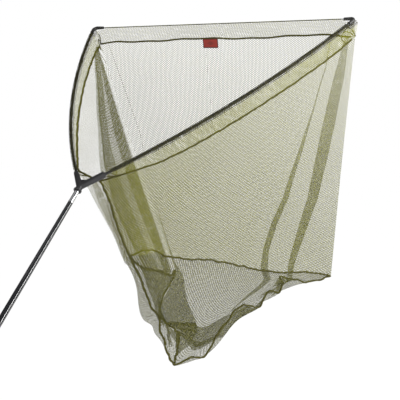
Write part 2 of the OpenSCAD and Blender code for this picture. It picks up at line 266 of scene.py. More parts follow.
def grid_object(name, grid, uv, material, weld=0.0002, ridge=None):
    """A sheet from a grid of points in the head's frame, with its flat coordinates as UVs.

    ridge gives a second material and the rows that wear it."""
    rows, cols = grid.shape[:2]
    index = np.arange(rows * cols).reshape(rows, cols)
    quads = np.stack([index[:-1, :-1], index[1:, :-1], index[1:, 1:], index[:-1, 1:]], 2).reshape(-1, 4)
    mesh = bpy.data.meshes.new(name)
    mesh.from_pydata(place(grid.reshape(-1, 3)).tolist(), [], quads.tolist())
    layer = mesh.uv_layers.new(name="flat")
    layer.data.foreach_set("uv", uv.reshape(-1, 2)[quads.ravel()].astype(np.float32).ravel())
    mesh.materials.append(material)
    if ridge:
        mesh.materials.append(ridge[0])
        of_row = np.repeat(np.arange(rows - 1), cols - 1)
        worn = ((of_row >= ridge[1]) & (of_row < ridge[2])).astype(np.int32)
        mesh.polygons.foreach_set("material_index", worn)
    bm = bmesh.new()
    bm.from_mesh(mesh)
    bmesh.ops.remove_doubles(bm, verts=bm.verts, dist=weld)
    bmesh.ops.dissolve_degenerate(bm, edges=bm.edges, dist=weld / 4)
    bm.to_mesh(mesh)
    bm.free()
    mesh.shade_smooth()
    return link(name, mesh)


def frames_along(line):
    """Tangents and steady side directions along a path, in the head's frame."""
    tangent = np.gradient(line, axis=0)
    tangent /= np.linalg.norm(tangent, axis=1, keepdims=True)
    side = np.cross(tangent[0], (0.3, 0.2, 1))
    sides = []
    for t in tangent:
        side = side - t * np.dot(side, t)
        side = side / np.linalg.norm(side)
        sides.append(side)
    sides = np.array(sides)
    return tangent, sides, np.cross(tangent, sides)


def tube_object(name, line, width, thickness, material, sections=10, wobble=0.0, seed=0.0, pulse=0.0):
    """A soft tube of oval section along a path, with closed ends.

    wobble moves it off its path, and pulse swells it."""
    line = np.asarray(line, float)
    run = np.r_[0, np.cumsum(np.linalg.norm(np.diff(line, axis=0), axis=1))]
    if wobble:
        shift = np.array([[noise.noise(Vector((s / 26, seed, k * 5.3))) for k in range(3)] for s in run])
        fade = np.clip(np.minimum(run, run[-1] - run) / 12, 0, 1)
        line = line + shift * (fade * wobble)[:, None]
    _, side, up = frames_along(line)
    swell = np.array([1 + pulse * noise.noise(Vector((s / 9, seed + 7, 0))) for s in run])
    swell[[0, -1]] *= 0.55
    angle = np.linspace(0, 2 * math.pi, sections, endpoint=False)
    ring = (np.cos(angle)[None, :, None] * side[:, None] * width / 2
            + np.sin(angle)[None, :, None] * up[:, None] * thickness / 2)
    grid = line[:, None] + ring * swell[:, None, None]
    count = len(line)
    verts = place(grid.reshape(-1, 3)).tolist()
    faces, uvs = [], []
    around = 2 * math.pi * (width + thickness) / 4 / 1000
    for i in range(count - 1):
        for j in range(sections):
            k = (j + 1) % sections
            faces.append((i * sections + j, i * sections + k, (i + 1) * sections + k, (i + 1) * sections + j))
            a, b = j / sections * around, (j + 1) / sections * around
            c, d = run[i] / 1000, run[i + 1] / 1000
            uvs += [(a, c), (b, c), (b, d), (a, d)]
    ends = [tuple(range(sections))[::-1], tuple((count - 1) * sections + j for j in range(sections))]
    for face in ends:
        faces.append(face)
        uvs += [(0, 0)] * sections
    mesh = bpy.data.meshes.new(name)
    mesh.from_pydata(verts, [], faces)
    layer = mesh.uv_layers.new(name="flat")
    layer.data.foreach_set("uv", np.array(uvs, np.float32).ravel())
    mesh.shade_smooth()
    mesh.materials.append(material)
    return link(name, mesh)


def join(name, objects):
    """Several objects made one, under one name."""
    bpy.ops.object.select_all(action="DESELECT")
    for o in objects:
        o.select_set(True)
    bpy.context.view_layer.objects.active = objects[0]
    bpy.ops.object.join()
    objects[0].name = objects[0].data.name = name
    return objects[0]


# ---- materials ----
class Nodes:
    """A short way to write a material's nodes."""

    def __init__(self, name):
        self.material = bpy.data.materials.new(name)
        self.material.use_nodes = True
        self.tree = self.material.node_tree
        self.tree.nodes.clear()
        self.shader = self.add("ShaderNodeBsdfPrincipled")
        output = self.add("ShaderNodeOutputMaterial")
        self.wire(self.shader.outputs[0], output.inputs["Surface"])

    def add(self, kind, **values):
        node = self.tree.nodes.new(kind)
        for key, value in values.items():
            setattr(node, key, value)
        return node

    def wire(self, output, socket):
        self.tree.links.new(output, socket)

    def put(self, socket, value):
        if isinstance(value, bpy.types.NodeSocket):
            self.wire(value, socket)
        else:
            socket.default_value = value

    def math(self, operation, a, b=0.0):
        node = self.add("ShaderNodeMath", operation=operation)
        self.put(node.inputs[0], a)
        self.put(node.inputs[1], b)
        return node.outputs[0]

    def vector(self, operation, a, b=(0, 0, 0), c=(0, 0, 0)):
        node = self.add("ShaderNodeVectorMath", operation=operation)
        self.put(node.inputs[0], a)
        self.put(node.inputs[1], b)
        if operation == "MULTIPLY_ADD":
            self.put(node.inputs[2], c)
        return node.outputs["Value"] if operation in ("DOT_PRODUCT", "LENGTH") else node.outputs[0]

    def ramp(self, value, stops):
        node = self.add("ShaderNodeValToRGB")
        elements = node.color_ramp.elements
        while len(elements) < len(stops):
            elements.new(0.5)
        for element, (position, colour) in zip(elements, stops):
            element.position = position
            element.color = (*colour, 1)
        self.put(node.inputs[0], value)
        return node.outputs[0]

    def mix(self, share, a, b):
        node = self.add("ShaderNodeMix", data_type="RGBA")
        for socket, v in zip((node.inputs[0], node.inputs[6], node.inputs[7]), (share, a, b)):
            self.wire(v, socket)
        return node.outputs[2]

    def span(self, value, low, high, to_low, to_high, smooth=False):
        node = self.add("ShaderNodeMapRange", interpolation_type="SMOOTHSTEP" if smooth else "LINEAR")
        for socket, v in zip(node.inputs[:5], (value, low, high, to_low, to_high)):
            self.put(socket, v)
        return node.outputs[0]

    def noise(self, coordinates, scale, detail=2.0, rough=0.5):
        node = self.add("ShaderNodeTexNoise")
        self.wire(coordinates, node.inputs["Vector"])
        node.inputs["Scale"].default_value = scale
        node.inputs["Detail"].default_value = detail
        node.inputs["Roughness"].default_value = rough
        return node.outputs[0]

    def coordinates(self, kind="Object"):
        return self.add("ShaderNodeTexCoord").outputs[kind]

    def set(self, **values):
        for key, value in values.items():
            self.put(self.shader.inputs[key.replace("_", " ")], value)

    def bump(self, height, strength, distance):
        node = self.add("ShaderNodeBump")
        node.inputs["Strength"].default_value = strength
        node.inputs["Distance"].default_value = distance
        self.wire(height, node.inputs["Height"])
        self.wire(node.outputs[0], self.shader.inputs["Normal"])


def net_material(name, thread, turn, dark=(0.14, 0.138, 0.002), pale=(0.205, 0.2, 0.006), closer=(0, 0),
                 solid=1.0, deep=None, thin=None, soft=0.02):
    """Soft knotless netting: open six-sided cells between fine olive threads.

    thread is a thread's half width as a share of a cell, turn is the cloth's own turn on its panel, and
    closer is how much slacker and closer the cells get per metre across and down it. solid is how little
    shows through a thread. deep is (from, to, dark, pale), the colours further down the cloth, and thin is
    (from, to, less thread), where the cloth's upper part is drawn tight by its left edge. soft is how much
    a thread's fuzz blurs its edges."""
    n = Nodes(name)
    uv = n.coordinates("UV")
    drift = n.noise(uv, 11, 1)
    push = n.vector("MULTIPLY_ADD", drift, (0.006, 0.006, 0), uv)
    along = n.vector("DOT_PRODUCT", push, (math.cos(turn), math.sin(turn), 0))
    away = n.vector("DOT_PRODUCT", push, (-math.sin(turn), math.cos(turn), 0))
    turned = n.add("ShaderNodeCombineXYZ")
    n.wire(along, turned.inputs[0])
    n.wire(away, turned.inputs[1])
    p = n.vector("MULTIPLY", turned.outputs[0], (1000 / cell, 1000 / cell * 0.86, 0))
    shape = (1, math.sqrt(3), 1)
    share = n.vector("DIVIDE", p, shape)
    half = tuple(-s / 2 for s in shape[:2]) + (0,)
    a = n.vector("MULTIPLY_ADD", n.vector("FRACTION", share), (shape[0], shape[1], 0), half)
    moved = n.vector("FRACTION", n.vector("ADD", share, (0.5, 0.5, 0)))
    b = n.vector("MULTIPLY_ADD", moved, (shape[0], shape[1], 0), half)
    nearer = n.math("LESS_THAN", n.vector("LENGTH", a), n.vector("LENGTH", b))
    pick = n.add("ShaderNodeMix", data_type="VECTOR")
    n.wire(nearer, pick.inputs["Factor"])
    n.wire(b, pick.inputs[4])
    n.wire(a, pick.inputs[5])
    g = n.vector("ABSOLUTE", pick.outputs[1])
    split = n.add("ShaderNodeSeparateXYZ")
    n.wire(g, split.inputs[0])
    slant = n.vector("DOT_PRODUCT", g, (0.5, math.sqrt(3) / 2, 0))
    edge = n.math("SUBTRACT", 0.5, n.math("MAXIMUM", split.outputs[0], slant))
    uneven = n.span(n.noise(uv, 3.2, 2), 0.3, 0.7, thread - 0.012, thread + 0.012)
    width = n.math("ADD", uneven, n.math("MINIMUM", n.vector("DOT_PRODUCT", uv, (*closer, 0)), 0.12))
    flat = n.add("ShaderNodeSeparateXYZ")
    n.wire(uv, flat.inputs[0])
    if thin:
        drawn = n.math("MULTIPLY", n.span(flat.outputs[0], thin[0], thin[1], thin[2], 0, smooth=True),
                       n.span(flat.outputs[1], 0.2, 0.45, 1, 0))
        width = n.math("SUBTRACT", width, drawn)
    inner, outer = n.math("SUBTRACT", width, soft), n.math("ADD", width, soft)
    n.set(Alpha=n.span(edge, inner, outer, solid, 0, smooth=True))
    grain = n.noise(uv, 110, 3)
    colour = n.ramp(grain, [(0.36, dark), (0.64, pale)])
    if deep:
        colour = n.mix(n.span(flat.outputs[1], deep[0], deep[1], 0, 1, smooth=True), colour,
                       n.ramp(grain, [(0.36, deep[2]), (0.64, deep[3])]))
    n.set(Base_Color=colour)
    n.set(Roughness=0.8, Specular_IOR_Level=0.2)
    n.bump(n.span(edge, 0, 0.1, 1, 0), 0.4, 0.0004)
    return n.material


def tape_material():
    """Olive polyester binding, folded over a seam: a fine twill, with painted shade darkening its creases."""
    n = Nodes("binding")
    uv = n.coordinates("UV")
    wave = n.add("ShaderNodeTexWave", wave_type="BANDS", bands_direction="DIAGONAL")
    n.wire(uv, wave.inputs["Vector"])
    wave.inputs["Scale"].default_value = 420
    wave.inputs["Distortion"].default_value = 0.6
    crease_and_shade = n.noise(uv, 90, 3)
    mixed = n.math("ADD", n.math("MULTIPLY", wave.outputs[1], 0.35), n.math("MULTIPLY", crease_and_shade, 0.65))
    # The creases' noise, also used for the bump, darkens the colour there: painted shade in the creases.
    n.set(Base_Color=n.ramp(mixed, [(0.3, (0.032, 0.029, 0.004)), (0.75, (0.1, 0.093, 0.02))]))
    n.set(Roughness=0.85, Specular_IOR_Level=0.25)
    n.bump(mixed, 0.6, 0.0004)
    return n.material


def pole_material():
    """Clear-lacquered black carbon: glossy, with a faint wrap under the lacquer and light handling marks."""
    n = Nodes("lacquered_black")
    place_on = n.coordinates()
    wrap = n.add("ShaderNodeTexWave", wave_type="BANDS", bands_direction="DIAGONAL")
    n.wire(place_on, wrap.inputs["Vector"])
    wrap.inputs["Scale"].default_value = 60
    n.set(Base_Color=n.ramp(wrap.outputs[1], [(0.2, (0.006, 0.006, 0.007)), (0.8, (0.013, 0.013, 0.015))]))
    marks = n.noise(place_on, 35, 5, 0.7)
    n.set(Roughness=n.span(marks, 0.35, 0.75, 0.06, 0.14))
    n.shader.inputs["Coat Weight"].default_value = 1.0
    n.shader.inputs["Coat Roughness"].default_value = 0.04
    return n.material


def metal_material(name, colour, scale, low, high, stretch=(1, 1, 1)):
    """Turned or brushed metal: fine lines that vary its gloss."""
    n = Nodes(name)
    lines = n.noise(n.vector("MULTIPLY", n.coordinates(), stretch), scale, 4, 0.6)
    n.set(Base_Color=n.ramp(lines, [(0.3, tuple(c * 0.86 for c in colour)), (0.7, colour)]))
    n.set(Roughness=n.span(lines, 0.3, 0.7, low, high), Metallic=1.0)
    n.bump(lines, 0.15, 0.0002)
    return n.material


def moulded_material(name, dark, pale, roughness, grain=900, depth=0.25):
    """Moulded plastic or rubber: a fine spark-eroded grain and slightly uneven colour."""
    n = Nodes(name)
    place_on = n.coordinates()
    broad, fine = n.noise(place_on, 28, 3), n.noise(place_on, grain, 2)
    n.set(Base_Color=n.ramp(broad, [(0.3, dark), (0.7, pale)]))
    n.set(Roughness=n.span(fine, 0.3, 0.7, roughness - 0.08, roughness + 0.08))
    n.bump(fine, depth, 0.0003)
    return n.material


def foam_material():
    """Close-cell foam grip: matt black with tiny open pores."""
    n = Nodes("foam")
    place_on = n.coordinates()
    pores = n.add("ShaderNodeTexVoronoi")
    n.wire(place_on, pores.inputs["Vector"])
    pores.inputs["Scale"].default_value = 900
    broad = n.noise(place_on, 40, 4)
    n.set(Base_Color=n.ramp(broad, [(0.3, (0.012, 0.012, 0.012)), (0.7, (0.024, 0.024, 0.024))]))
    n.set(Roughness=0.92)
    n.bump(pores.outputs["Distance"], 0.8, 0.0006)
    return n.material


def cord_material():
    """Braided dark olive cord: crossing strands."""
    n = Nodes("braid")
    uv = n.coordinates("UV")
    waves = []
    for direction in ("DIAGONAL", "Y"):
        wave = n.add("ShaderNodeTexWave", wave_type="BANDS", bands_direction=direction)
        n.wire(uv, wave.inputs["Vector"])
        wave.inputs["Scale"].default_value = 260
        waves.append(wave.outputs[1])
    strand = n.math("MULTIPLY", *waves)
    n.set(Base_Color=n.ramp(strand, [(0.2, (0.015, 0.015, 0.01)), (0.8, (0.06, 0.058, 0.04))]))
    n.set(Roughness=0.8)
    n.bump(strand, 0.7, 0.0004)
    return n.material


def label_material():
    """A woven red tag: fine cross threads, a darker sewn border and one plain darker lozenge."""
    n = Nodes("red_tag")
    uv = n.coordinates("UV")
    split = n.add("ShaderNodeSeparateXYZ")
    n.wire(uv, split.inputs[0])
    x, y = split.outputs[0], split.outputs[1]
    mid_x, mid_y = label_w / 2000, label_h / 2000
    from_x = n.math("ABSOLUTE", n.math("SUBTRACT", x, mid_x))
    from_y = n.math("ABSOLUTE", n.math("SUBTRACT", y, mid_y))
    weave = n.math("MULTIPLY", n.math("SINE", n.math("MULTIPLY", x, 7000)),
                   n.math("SINE", n.math("MULTIPLY", y, 7000)))
    rim = n.math("MAXIMUM", n.math("GREATER_THAN", from_x, mid_x - 0.003),
                 n.math("GREATER_THAN", from_y, mid_y - 0.003))
    lozenge = n.math("LESS_THAN", n.math("ADD", n.math("MULTIPLY", from_x, 0.5), from_y), 0.0075)
    shade = n.math("MAXIMUM", n.math("MULTIPLY", rim, 0.75), n.math("MULTIPLY", lozenge, 0.3))
    soft = n.math("ADD", shade, n.math("MULTIPLY", n.noise(uv, 300, 3), 0.35))
    n.set(Base_Color=n.ramp(soft, [(0.1, (0.3, 0.028, 0.017)), (0.9, (0.07, 0.012, 0.01))]))
    n.set(Roughness=0.75)
    n.bump(weave, 0.4, 0.0002)
    return n.material


front_net = net_material(
    "netting_front", 0.147, 0.6, (0.135, 0.133, 0.014), (0.2, 0.195, 0.03), closer=(-0.02, 0.17), solid=0.58,
    deep=(0.85, 1.0, (0.06, 0.059, 0.018), (0.15, 0.147, 0.045)), thin=(-0.5, -0.48, 0.1), soft=0.07)
side_net = net_material(
    "netting_side", 0.112, 0.9, (0.1, 0.098, 0.01), (0.2, 0.195, 0.022), closer=(-0.12, 0.03))
far_net = net_material(
    "netting_far", 0.105, 0.35, (0.07, 0.068, 0.008), (0.19, 0.184, 0.035), closer=(0.012, 0), solid=0.88)
floor_net = net_material(
    "netting_floor", 0.195, 0.75, (0.05, 0.049, 0.01), (0.135, 0.13, 0.03), closer=(0, -0.16), solid=0.85,
    soft=0.05)
sleeve_net = net_material("netting_sleeve", 0.074, 0.5)
front_sleeve_net = net_material("netting_front_sleeve", 0.105, 0.5, solid=0.56, soft=0.06)
far_sleeve_net = net_material("netting_far_sleeve", 0.1, 0.5, solid=0.9)
# Where a side sleeve is drawn over its arm: in the rows of its grid from over_rod[0] to over_rod[1]
stretched_net = net_material("netting_over_rod", 0.17, 0.5, (0.01, 0.009, 0.003), (0.05, 0.046, 0.014))
over_rod = (6, 16)
tape = tape_material()
braid = cord_material()


# ---- the bag's lines, for y over 0; the right side is the mirror where no own line is given ----
def arm_line(s):
    """The middle of the left arm at shares s of its length."""
    t = socket_angle - arm_turn * np.asarray(s, float)
    x = arm_start * math.cos(socket_angle) + arm_bend * (math.sin(socket_angle) - np.sin(t))
    y = arm_start * math.sin(socket_angle) + arm_bend * (np.cos(t) - math.cos(socket_angle))
    return np.stack([x, y, np.zeros_like(x)], -1)


def sleeve_fall(s):
    """How far below the arm its seam lies: close to it at the block, then soon at full depth."""
    return throat_depth + (sleeve_depth - throat_depth) * (1 - (1 - np.minimum(1, np.asarray(s) / full_at))**4)


def mirrored(points):
    return np.asarray(points, float) * (1, -1, 1)


back_seam = [(92, 0, -46), (98, 0, -78), (89, 0, -215), bag_back, (93, 0, -434), (92, 0, -568),
             (107, 0, -617), (89, 0, -638), (84, 0, -683), (75, 0, -750), bag_point]
back_upper, back_lower = back_seam[:4], back_seam[3:]
right_base = [bag_back, (130, -29, -349), (160, -47, -373), (183, -60, -411), (230, -87, -458),
              (319, -140, -535), (387, -180, -609), (433, -206, -658), (516, -256, -735),
              (577, -293, -781), right_corner]
left_base = [bag_back, (128, 28, -395), (210, 72, -491), (401, 183, -664), (560, 278, -815),
             bag_corner]
left_point = [bag_corner, (612, 316, -862), (419, 262, -841), (377, 241, -837), (321, 181, -831),
              (254, 82, -824), (198, 53, -818), (126, 19, -810), bag_point]
left_point_mean = [bag_corner, (419, 255, -845), (300, 150, -830), bag_point]
right_point = [right_corner, (571, -287, -818), (529, -263, -775), (488, -238, -735), (492, -240, -762),
               (466, -225, -787), (442, -211, -755), (423, -200, -770), (398, -185, -790), (346, -155, -747),
               (280, -115, -772), (247, -96, -787), (200, -68, -835), (177, -55, -843), (140, -33, -815),
               bag_point]
right_point_mean = [right_corner, (500, -245, -790), (346, -155, -780), (200, -68, -835), bag_point]
sleeve_share = np.linspace(0.02, 1, 60)
left_sleeve_seam = arm_line(sleeve_share) - np.stack(
    [0 * sleeve_share, 0 * sleeve_share, sleeve_fall(sleeve_share)], 1)
tip_corner = tip + np.array([-14, -12, -sleeve_depth])
left_sleeve_seam += ease((sleeve_share - 0.85) / 0.15)[:, None] * (tip_corner - left_sleeve_seam[-1])
right_sleeve_seam = mirrored(left_sleeve_seam)
seam_leaves_arm = 3  # the first point of a sleeve's seam that its wall hangs from
front_y = np.linspace(tip_corner[1], -tip_corner[1], 60)
front_seam = np.stack([
    tip[0] + (tip_corner[0] - tip[0]) * ease((np.abs(front_y) - tip_corner[1] + 90) / 90),
    front_y,
    -sleeve_depth + (3 * np.sin(front_y / 70) + 1.5 * np.sin(front_y / 23)) * np.clip(
        (tip_corner[1] - np.abs(front_y)) / 40, 0, 1),
], 1)
down = np.array([-0.559, 0, -0.829])  # straight down in the world


def side_top(side):
    """A side wall's upper edge: from the throat to the arm's sleeve seam, then along it."""
    seam = left_sleeve_seam if side > 0 else right_sleeve_seam
    return np.concatenate([[back_seam[0]], seam[seam_leaves_arm:]])


def wall_base(side):
    """A side wall from the back seam to the front corner: rows go back to front, columns go down."""
    top = even(side_top(side), 80)
    bottom = spline(left_base if side > 0 else right_base, 80)
    end = spline([top[-1], top[-1] * 0.5 + bottom[-1] * 0.5 + np.array([-6, 0, 0]), bottom[-1]], 60)
    return coons(top, bottom, spline(back_upper, 60), end)


def shares(grid):
    rows, cols = grid.shape[:2]
    return np.meshgrid(np.linspace(0, 1, cols), np.linspace(0, 1, rows))


def push(grid, amount, direction):
    return grid + amount[..., None] * np.asarray(direction, float)


def left_pleats():
    """The left wall's folds: one at the back seam, and broad ones that fan out from the arm's tip.

    The broad ones lie between the fan's back edge, given at shares down the wall, and its front edge. A mark
    is a fold's start and end as shares of the way between those two edges."""
    down_share = [0, 0.08, 0.13, 0.23, 0.33, 0.52, 0.75, 1]
    back_edge = [0.94, 0.862, 0.794, 0.62, 0.42, 0.21, 0.12, 0.07]
    front_edge = 0.997
    marks = [(0.0, 0.55), (0.26, 0.3), (0.28, 0.99), (0.8, 0.985)]
    folds = [pleat((0, 0.03, 0.02), (0.3, 0.035, 0.025), (0.7, 0.04, 0.03), (1, 0.035, 0.025))]
    for start, end in marks:
        folds.append(pleat(*[
            (at, edge + (front_edge - edge) * (start + end) / 2, (front_edge - edge) * (end - start) * 0.5)
            for at, edge in zip(down_share, back_edge)]))
    return folds


def back_swell(u):
    """How the cloth stands out on either side of the back seam."""
    return bump(u, 0.06, 0.09) * ease(u / 0.03)


def make_wall(name, side, material):
    base = wall_base(side)
    u, v = shares(base)
    swell = back_swell(u) * (10 * bump(v, 0.35, 0.45) + 18 * ease((v - 0.4) / 0.6))
    base = push(base, swell, (-1, 0.8 * side, -0.1))
    base = ripple(base, u, v, 3 if side > 0 else 8, 7, 2.5, 3.1 + side)
    grid = folded(base, left_pleats() if side > 0 else [], stack=0.9)
    return grid_object(name, grid, flat_uv(grid), material)


def puckered(grid, edge, line, mean, reach=0.12):
    """Moves a sheet's edge column from its mean line to the seam's real line, fading inwards."""
    u, _ = shares(grid)
    inward = u if edge == 0 else 1 - u
    rows = len(grid)
    return grid + (spline(line, rows) - spline(mean, rows))[:, None] * (ease(1 - inward / reach))[..., None]


def front_base():
    """The front panel from the cord's seam down its face and back under the bag to the point."""
    left_end, right_end = wall_base(1)[:, -1], wall_base(-1)[:, -1]
    bottom = spline([left_base[-1], (655, 160, -885), (660, 0, -892), (655, -160, -885), right_base[-1]], 120)
    face = coons(even(front_seam, 120), bottom, left_end, right_end)
    point = np.repeat(np.array([bag_point], float), 120, 0)
    under = coons(bottom, point, spline(left_point_mean, 60), spline(right_point_mean, 60))
    under = puckered(under, 0, left_point, left_point_mean)
    under = puckered(under, 1, right_point, right_point_mean)
    u, v = shares(under)
    under = push(under, 14 * bump(u, 0.9, 0.16) * np.sin(math.pi * v), down)
    under = push(under, 8 * bump(u, 0.5, 0.5) * np.sin(math.pi * v), down)
    return np.concatenate([face, under[1:]])


front_pleats = [
    pleat((0, 0.03, 0.0015), (0.2, 0.05, 0.0015), (0.32, 0.02, 0.0015), (0.48, 0.006, 0.005),
          (0.62, 0.085, 0.08), (0.81, 0.21, 0.2), (0.88, 0.2, 0.16), (0.94, 0.2, 0), (1, 0.2, 0)),
    pleat((0, 0.425, 0.001), (0.15, 0.405, 0.001), (0.25, 0.4, 0), (1, 0.5, 0)),
    pleat((0, 0.905, 0.002), (0.063, 0.894, 0.003), (0.145, 0.852, 0.004), (0.228, 0.795, 0.01),
          (0.328, 0.715, 0.016), (0.381, 0.648, 0.018), (0.439, 0.585, 0.02), (0.48, 0.56, 0.024),
          (0.6, 0.65, 0.03), (0.72, 0.7, 0.01), (0.8, 0.72, 0), (1, 0.7, 0)),
    pleat((0, 0.966, 0.01), (0.075, 0.95, 0.021), (0.165, 0.924, 0.027), (0.248, 0.894, 0.03),
          (0.331, 0.856, 0.03), (0.404, 0.794, 0.026), (0.466, 0.735, 0.02), (0.5, 0.72, 0.016),
          (0.6, 0.78, 0.02), (0.7, 0.82, 0), (1, 0.9, 0)),
]
# Two tucks across the panel, one over the other, where it hangs back under the bag
front_tucks = [
    pleat((0, 0.775, 0.004), (0.1, 0.785, 0.014), (0.4, 0.828, 0.045), (0.67, 0.808, 0.062),
          (0.82, 0.77, 0.06), (1, 0.75, 0.03)),
    pleat((0, 0.8, 0), (0.1, 0.82, 0.008), (0.4, 0.868, 0.02), (0.67, 0.865, 0.022), (0.82, 0.83, 0.01),
          (1, 0.8, 0)),
]


def make_front():
    base = front_base()
    base = ripple(base, *shares(base), 8, 5, 3, 8.2)
    grid = folded(base, front_pleats, front_tucks, rows=150, columns=150)
    cut = int(np.argmin(np.abs(grid[0, :, 1])))
    uv = flat_uv(grid)
    return (grid_object("front_net_left", grid[:, :cut + 1], uv[:, :cut + 1], front_net),
            grid_object("front_net_right", grid[:, cut:], uv[:, cut:], front_net))


# The left floor panel carries the left wall's folds on towards the point
floor_pleats = [
    pleat((0, 0.38, 0.2), (0.25, 0.55, 0.18), (0.5, 0.74, 0.12), (0.65, 0.82, 0.06), (0.8, 0.9, 0),
          (1, 0.9, 0)),
    pleat((0, 0.78, 0.2), (0.25, 0.84, 0.15), (0.5, 0.9, 0.08), (0.65, 0.93, 0.04), (0.8, 0.96, 0),
          (1, 0.96, 0)),
]


def make_floor(name, side):
    base_line = left_base if side > 0 else right_base
    line, mean = (left_point, left_point_mean) if side > 0 else (right_point, right_point_mean)
    bottom = np.repeat(np.array([bag_point], float), 80, 0)
    base = coons(spline(base_line, 80), bottom, spline(back_lower, 60), spline(mean, 60))
    base = puckered(base, 1, line, mean)
    u, v = shares(base)
    swell = (18 * back_swell(u) * (1 - v)**1.5
             + 28 * bump(u, 0.12, 0.14) * ease(u / 0.03) * bump(v, 0.45, 0.45))
    base = push(base, swell, (-1, 0.8 * side, -0.1))
    base = push(base, 22 * bump(u, 0.6, 0.4) * np.sin(math.pi * v), down)
    base = ripple(base, u, v, 12, 5, 3, 5.5 + side)
    grid = folded(base, floor_pleats if side > 0 else [], rows=80, columns=110)
    return grid_object(name, grid, flat_uv(grid), floor_net)


left_wall = make_wall("left_net_wall", 1, far_net)
right_wall = make_wall("right_net_wall", -1, side_net)
front_left, front_right = make_front()
left_floor = make_floor("left_net_floor", 1)
right_floor = make_floor("right_net_floor", -1)


def wrapped(middle, out, seam, wrap, steps=8):
    """A sleeve's cross rows: up one face, over the rod or cord, and down the other to the seam."""
    rise = np.linspace(0, 1, steps)[:-1]
    lean = wrap * (0.25 + 0.75 * np.sin(rise * math.pi / 2))
    up = [seam + (middle - seam) * k + out * x for x, k in zip(lean, rise)]
    over = [middle + out * wrap * math.cos(a) + np.array([0, 0, wrap * math.sin(a)])
            for a in np.linspace(0, math.pi, 9)]
    back = [seam + (middle - seam) * k - out * x for x, k in zip(lean, rise)]
    return np.array(up + over + back[::-1])


def make_sleeve(name, side, material):
    """Netting folded over an arm, both edges caught in the seam below it. It passes under the tip's elbow."""
    s = np.linspace(0.015, 0.998, 160)
    middle = arm_line(s)
    ahead = np.gradient(middle, axis=0)
    ahead /= np.linalg.norm(ahead, axis=1, keepdims=True)
    out = np.stack([-ahead[:, 1], ahead[:, 0], 0 * s], 1)
    under = elbow_clear * ease((s - 0.955) / 0.01)
    middle = middle - np.array([0, 0, 1.0]) * under[:, None]
    seam = np.stack([np.interp(s, sleeve_share, left_sleeve_seam[:, k]) for k in range(3)], 1)
    grid = wrapped(middle, out, seam, arm_r + rod_clear) * (1, side, 1)
    return grid_object(name, grid, flat_uv(grid)[..., ::-1], material, 0.00005, (stretched_net, *over_rod))


def make_front_sleeve(name, side):
    """Half of the netting folded over the front cord. It passes under the tip's elbow too."""
    y = side * np.linspace(0, tip[1] - 6, 90)
    under = elbow_clear * ease((np.abs(y) - tip[1] + 50) / 8)
    middle = np.stack([tip[0] - 6 * ease((np.abs(y) - tip[1] + 30) / 24), y, -under], 1)
    seam = np.stack([np.interp(y, front_seam[::-1, 1], front_seam[::-1, k]) for k in range(3)], 1)
    grid = wrapped(middle, np.array([[1.0, 0, 0]]), seam, cord_r + cord_clear)
    return grid_object(name, grid, flat_uv(grid)[..., ::-1], front_sleeve_net, 0.00005)


left_sleeve = make_sleeve("left_net_sleeve", 1, far_sleeve_net)
right_sleeve = make_sleeve("right_net_sleeve", -1, sleeve_net)
front_sleeve_left = make_front_sleeve("front_net_sleeve_left", 1)
front_sleeve_right = make_front_sleeve("front_net_sleeve_right", -1)


# ---- seam bindings ----
def path_length(line):
    return np.linalg.norm(np.diff(line, axis=0), axis=1).sum()


def binding(name, points, seed, wobble=5.0):
    line = spline(points, max(12, int(path_length(points) / 4)))
    return tube_object(name, line, tape_w, tape_t, tape, wobble=wobble, seed=seed, pulse=0.4)


def tip_loops(side):
    """The binding's loose ends, crossed over each other under an arm's tip."""
    x, y = tip_corner[0] + 4, side * (tip_corner[1] + 4)
    first = [(x - 2, y - side * 6, -60), (x - 12, y - side * 14, -40), (x - 28, y - side * 24, -26),
             (x - 44, y - side * 32, -42), (x - 40, y - side * 26, -64)]
    second = [(x - 2, y - side * 3, -60), (x - 1, y - side * 8, -44), (x - 4, y - side * 14, -28),
              (x - 9, y - side * 18, -14)]
    return [first, second]


def throat_loop(side):
    """The thin edge that closes a sleeve's open end beside the block."""
    root = arm_line(0.012)
    seam = arm_line(0.05)
    points = [root + np.array([0, 0, -5]), seam * 0.5 + root * 0.5 + np.array([-2, -6, -22]),
              np.array([94, 9, -38]), np.array(back_seam[0]) + np.array([2, 2, 3])]
    return [tuple(p * (1, side, 1)) for p in points]


back_tape = binding("back_seam_binding", back_seam, 1.0)
right_base_tape = binding("right_base_binding", right_base, 2.0)
left_base_tape = binding("left_base_binding", left_base, 3.0)
right_floor_tape = binding("right_floor_binding", right_point, 4.0)
left_floor_tape = binding("left_floor_binding", left_point, 5.0)


def side_binding(name, side):
    main = binding(name, side_top(side)[::2], 6.0 + side, 2.0)
    loops = [tube_object(f"loop{i}", spline(p, 30), 3.6, 2.6, tape, wobble=1.5, seed=i + side, pulse=0.2)
             for i, p in enumerate(tip_loops(side) + [throat_loop(side)])]
    return join(name, [main] + loops)


left_sleeve_tape = side_binding("left_sleeve_binding", 1)
right_sleeve_tape = side_binding("right_sleeve_binding", -1)
front_line = spline(front_seam[::2], 270)
front_cut = int(np.argmin(np.abs(front_line[:, 1])))
front_tape_left = tube_object("front_binding_left", front_line[:front_cut + 1], tape_w, tape_t, tape,
                              pulse=0.2, seed=8)
front_tape_right = tube_object("front_binding_right", front_line[front_cut:], tape_w, tape_t, tape,
                               pulse=0.2, seed=8)


# ---- front cord ----
def make_cord(name, side):
    """Half of the taut braided cord between the arm tips, to its knot inside the elbow."""
    y = side * np.linspace(0, tip[1] - knot_inset, 90)
    line = np.stack([tip[0] + 0 * y, y, 0 * y], 1)
    return tube_object(name, line, 2 * cord_r, 2 * cord_r, braid, sections=12)


cord_left = make_cord("front_cord_left", 1)
cord_right = make_cord("front_cord_right", -1)


